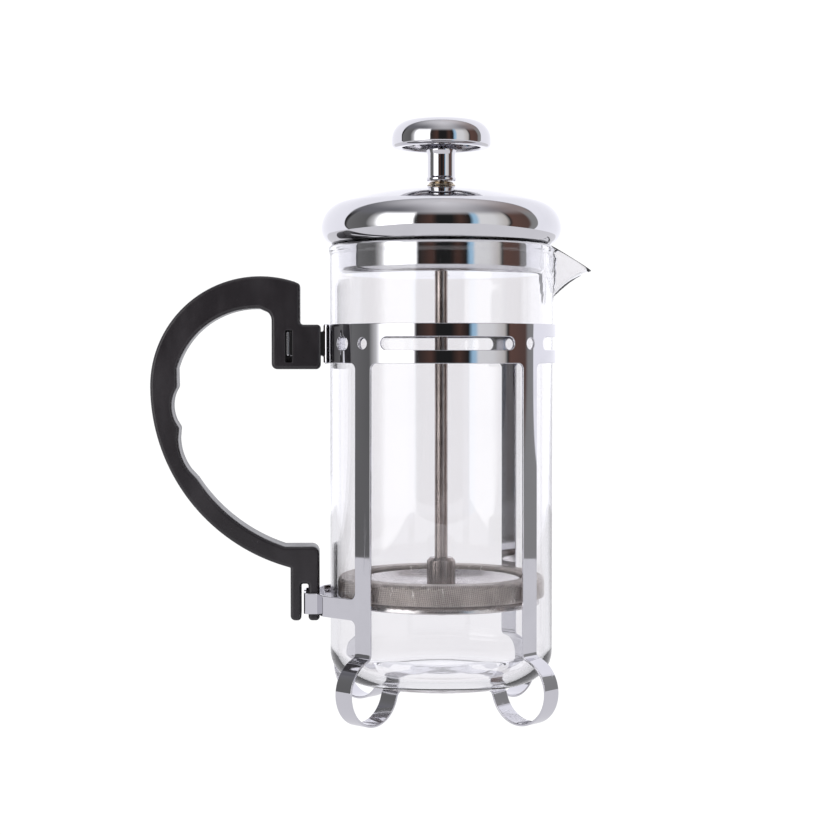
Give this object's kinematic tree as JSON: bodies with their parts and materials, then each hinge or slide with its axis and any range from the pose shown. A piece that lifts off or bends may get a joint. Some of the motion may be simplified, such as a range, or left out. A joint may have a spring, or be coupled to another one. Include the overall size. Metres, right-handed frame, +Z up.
{
  "type": "french press",
  "caption": "Press-pot coffee maker: a glass beaker in a stamped chrome frame on looped feet, with a black loop handle, a domed lid and a sliding mesh plunger.",
  "frame": {"origin": "the glass beaker's axis at table level", "axes": "+Z up, +X from the handle towards the spout, +Y towards the back, so that the front is seen along +Y"},
  "size_m": [0.1388, 0.0754, 0.187],
  "materials": {
    "chrome_frame": "mirror-plated stamped steel sheet",
    "chrome_lid": "mirror-polished plated steel",
    "bush_metal": "thin chrome over brass",
    "steel": "plain drawn and turned steel",
    "bright_steel": "bright brushed stainless sheet",
    "steel_mesh": "fine woven stainless mesh, folded",
    "glass": "clear blown borosilicate",
    "black_plastic": "satin black moulded plastic"
  },
  "bodies": {
    "frame": {"band": "chrome_frame", "leg_front_left": "chrome_frame", "leg_back_left": "chrome_frame", "leg_front_right": "chrome_frame", "leg_back_right": "chrome_frame", "base_disc": "chrome_frame", "base_rivet": "chrome_frame", "handle": "black_plastic"},
    "beaker": {"beaker": "glass"},
    "lid": {"lid_dome": "chrome_lid", "lid_insert": "chrome_lid", "lid_bush": "bush_metal", "bush_nut": "steel"},
    "plunger": {"knob_cap": "chrome_lid", "knob_stem": "chrome_lid", "plunger_rod": "steel", "hub_sleeve": "steel", "upper_plate": "bright_steel", "edge_spring": "steel", "mesh_screen": "steel_mesh", "lower_plate": "bright_steel", "filter_nut": "steel"}
  },
  "joints": [
    {"name": "beaker_lift", "type": "slide", "parent": "frame", "child": "beaker", "axis": [0, 0, 1], "range_m": [0, 0.125]},
    {"name": "lid_lift", "type": "slide", "parent": "beaker", "child": "lid", "axis": [0, 0, 1], "range_m": [0, 0.125]},
    {"name": "plunger_slide", "type": "slide", "parent": "lid", "child": "plunger", "axis": [0, 0, 1], "range_m": [0, 0.085]}
  ]
}
